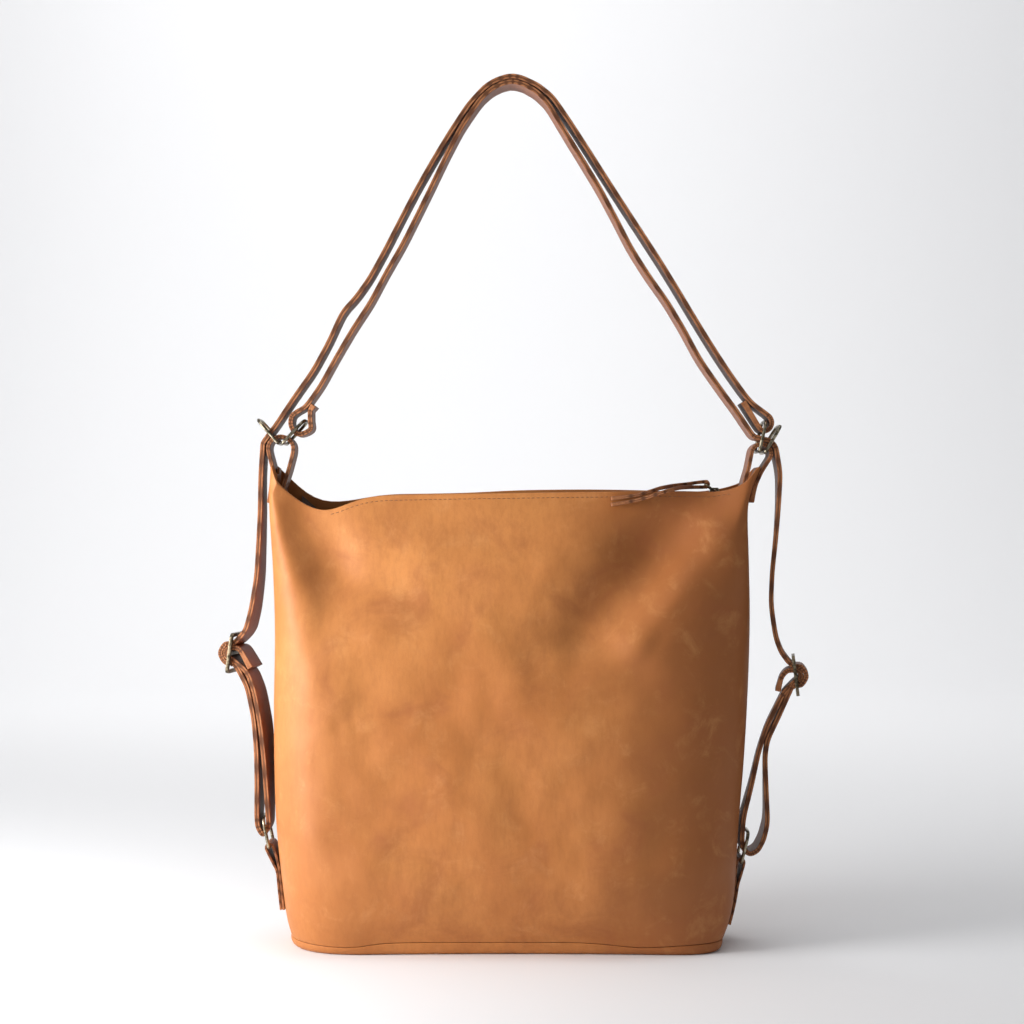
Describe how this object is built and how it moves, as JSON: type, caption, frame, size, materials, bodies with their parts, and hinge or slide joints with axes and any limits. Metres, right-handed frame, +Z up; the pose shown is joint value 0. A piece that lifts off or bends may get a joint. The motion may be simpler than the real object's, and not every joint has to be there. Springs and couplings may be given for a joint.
{
  "type": "convertible backpack",
  "caption": "Soft tan leather bag, carried on the shoulder or on the back, with long straps that run through metal rings and sliders and a zip along its top",
  "frame": {"origin": "under the middle of the whole, at the level of the surface that the base rests on", "axes": "+Z up, +X to the right across the front leaf, and the front leaf faces -Y"},
  "size_m": [0.4404, 0.1298, 0.6446],
  "materials": {
    "body_leather": "waxed tan leather with a mottled pull-up surface",
    "strap_leather": "brown leather with lighter raw edges",
    "aged_brass": "antique brass, worn bright on its edges",
    "zip_metal": "dark antique brass",
    "zip_cloth": "dark brown woven tape"
  },
  "bodies": {
    "root": {"front_panel": "body_leather", "back_panel": "body_leather", "base_panel": "body_leather", "top_tab_left": "strap_leather", "top_tab_right": "strap_leather", "side_tab_left": "strap_leather", "side_tab_right": "strap_leather", "strap_left": "strap_leather", "strap_right": "strap_leather", "zip_pull_leather": "strap_leather", "ring_pass_left": "aged_brass", "ring_fixed_left": "aged_brass", "ring_pass_right": "aged_brass", "ring_fixed_right": "aged_brass", "ring_lower_left": "aged_brass", "ring_lower_right": "aged_brass", "slider_left": "aged_brass", "slider_right": "aged_brass", "zip_teeth": "zip_metal", "zip_slider_body": "zip_metal", "zip_puller": "zip_metal", "zip_tape_front": "zip_cloth", "zip_tape_back": "zip_cloth"}
  },
  "joints": []
}
